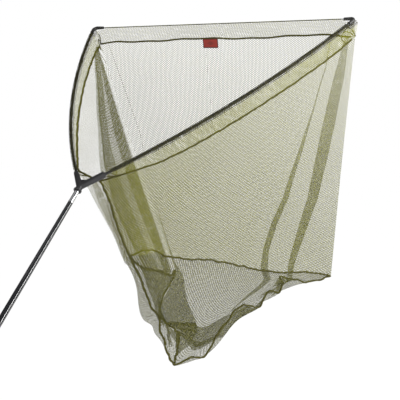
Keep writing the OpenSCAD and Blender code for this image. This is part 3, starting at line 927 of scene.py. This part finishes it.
# ---- label ----
def make_label():
    """A red tag sewn into the front seam, inside the mouth, slightly curled."""
    cols, rows = 24, 14
    s, t = np.meshgrid(np.linspace(-0.5, 0.5, cols), np.linspace(0, 1, rows))
    lean = np.array([tip[0] - bag_corner[0], 0, -bag_corner[2] - sleeve_depth])
    lean = lean / np.linalg.norm(lean)
    curl = 2.2 * t**2 * (1 + 0.5 * np.sin(3 * s))
    grid = (np.array([tip[0] - 5.5, label_shift, -sleeve_depth + 4])
            + np.stack([0 * s, -s * label_w, 0 * s], 2)
            - t[..., None] * label_h * np.array([lean[0], 0, lean[2]])
            - curl[..., None] * np.array([1.0, 0, 0]))
    uv = np.stack([(s + 0.5) * label_w, (1 - t) * label_h], 2) / 1000
    obj = grid_object("red_label", grid, uv, label_material())
    thick = obj.modifiers.new("thickness", "SOLIDIFY")
    thick.thickness = 0.0009
    return obj


label = make_label()


# ---- CAD pieces' finish ----
finishes = {
    "handle_pole": pole_material(),
    "handle_ferrule": metal_material("bright_alloy", (0.82, 0.83, 0.85), 220, 0.16, 0.3, (1, 6, 1)),
    "ferrule_lip_ring": metal_material("polished_alloy", (0.9, 0.9, 0.91), 120, 0.1, 0.18),
    "handle_grip": foam_material(),
    "grip_collar": moulded_material("collar_rubber", (0.012, 0.012, 0.012), (0.022, 0.022, 0.022), 0.6),
    "butt_cap": moulded_material("butt_rubber", (0.014, 0.014, 0.014), (0.026, 0.026, 0.026), 0.7),
    "thread_washer": moulded_material("washer_rubber", (0.01, 0.01, 0.01), (0.02, 0.02, 0.02), 0.6),
    "thread_stud": metal_material("brass", (0.72, 0.52, 0.24), 180, 0.22, 0.38),
    "spreader_block": moulded_material("block_nylon", (0.012, 0.012, 0.013), (0.024, 0.023, 0.025), 0.45),
}
arm_finish = moulded_material("arm_glassfibre", (0.006, 0.006, 0.004), (0.013, 0.012, 0.008), 0.55, 300, 0.15)
root_finish = moulded_material("root_sleeve", (0.014, 0.014, 0.014), (0.024, 0.024, 0.024), 0.45)
tip_finish = moulded_material("tip_nylon", (0.016, 0.016, 0.015), (0.03, 0.03, 0.027), 0.45)
for side_name in ("left", "right"):
    finishes[side_name + "_arm"] = arm_finish
    finishes[side_name + "_arm_root"] = root_finish
    finishes[side_name + "_arm_ring"] = root_finish
    finishes[side_name + "_tip_elbow"] = tip_finish
    finishes[side_name + "_cord_knot"] = braid
bevels = {"spreader_block": 0.0006, "handle_ferrule": 0.0003, "butt_cap": 0.0004, "grip_collar": 0.0003}
for node_name, finish in finishes.items():
    node = frame["nodes"][node_name]
    node.data.materials.clear()
    node.data.materials.append(finish)
    if node_name in bevels:
        bevel = node.modifiers.new("edge", "BEVEL")
        bevel.width = bevels[node_name]
        bevel.segments = 2
        bevel.limit_method = "ANGLE"
        bevel.angle_limit = math.radians(40)
        bevel.harden_normals = True


# ---- what moves with what ----
def across_blend(obj):
    """Netting between the head and an arm: its placement baked into its mesh."""
    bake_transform(obj)


standing_for = [
    (left_wall, 1, ["left_wall"]), (right_wall, -1, ["right_wall"]),
    (front_left, 1, ["front_wall", "front_floor"]), (front_right, -1, ["front_wall", "front_floor"]),
    (left_floor, 1, ["left_floor"]), (right_floor, -1, ["right_floor"]),
    (left_sleeve, 1, ["left_sleeve"]), (right_sleeve, -1, ["right_sleeve"]),
    (front_sleeve_left, 1, ["front_sleeve"]), (front_sleeve_right, -1, ["front_sleeve"]),
    (left_base_tape, 1, ["left_base_tape"]), (right_base_tape, -1, ["right_base_tape"]),
    (left_floor_tape, 1, ["left_floor_tape"]), (right_floor_tape, -1, ["right_floor_tape"]),
    (left_sleeve_tape, 1, ["left_sleeve_tape"]), (right_sleeve_tape, -1, ["right_sleeve_tape"]),
    (front_tape_left, 1, ["front_sleeve_tape"]), (front_tape_right, -1, ["front_sleeve_tape"]),
    (cord_left, 1, ["left_front_cord"]), (cord_right, -1, ["right_front_cord"]),
    (label, 1, ["label"]),
]
for piece, piece_side, nodes_hidden in standing_for:
    across_blend(piece)
    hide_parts(*nodes_hidden)
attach(back_tape, "head")
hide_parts("back_seam_tape")


# ---- stage ----
def soft_light(name, start, end, target, width, power):
    """A soft panel from start to end, facing the target."""
    start, end, target = (np.array(point, float) for point in (start, end, target))
    data = bpy.data.lights.new(name, "AREA")
    data.shape = "RECTANGLE"
    data.size = width
    data.size_y = float(np.linalg.norm(end - start))
    data.energy = power
    obj = bpy.data.objects.new(name, data)
    bpy.context.scene.collection.objects.link(obj)
    middle, long_axis = (start + end) / 2, unit(end - start)
    away = middle - target
    away = unit(away - long_axis * away.dot(long_axis))
    turn = np.stack([np.cross(long_axis, away), long_axis, away], 1)
    obj.matrix_world = Matrix([(*row, offset) for row, offset in zip(turn, middle)] + [(0, 0, 0, 1)])


def make_studio():
    """An even white room. Glossy surfaces see it much dimmer, so that the black parts don't mirror it."""
    world = bpy.data.worlds.new("studio")
    bpy.context.scene.world = world
    world.use_nodes = True
    tree = world.node_tree
    sky = tree.nodes["Background"]
    path = tree.nodes.new("ShaderNodeLightPath")
    dim = tree.nodes.new("ShaderNodeMapRange")
    dim.inputs["To Min"].default_value = 1.0
    dim.inputs["To Max"].default_value = 0.12
    tree.links.new(path.outputs["Is Glossy Ray"], dim.inputs["Value"])
    tree.links.new(dim.outputs[0], sky.inputs["Strength"])
    sky.inputs["Color"].default_value = (1, 1, 1, 1)


def pole_light(name, ray, length, width, power):
    """A panel along the pole, out from its upper part in the direction of ray."""
    pole_middle = hub - 0.35 * forward
    centre = pole_middle + 2.4 * np.array(ray)
    along = forward * length / 2
    soft_light(name, centre - along, centre + along, pole_middle, width, power)


def make_stage():
    bpy.ops.mesh.primitive_plane_add(size=80, location=(0, 0, -0.4))
    floor = bpy.context.object
    floor.name = "floor"
    n = Nodes("paper_floor")
    n.set(Base_Color=(1, 1, 1, 1), Roughness=1.0, Specular_IOR_Level=0)
    floor.data.materials.append(n.material)
    make_studio()
    soft_light("key", (-2.9, -4.0, 3.2), (-2.3, -4.4, 3.2), (1.2, 0, 1.0), 0.7, 50)
    pole_light("rim", (0.454, -0.762, 0.461), 2.0, 0.2, 40)
    pole_light("overhead", (0.1, 0.115, 0.988), 1.8, 0.4, 2.5)


make_stage()
bpy.context.scene.view_settings.view_transform = "Standard"
# Enough for all the layers of netting that lie behind each other
bpy.context.scene.cycles.transparent_max_bounces = 32
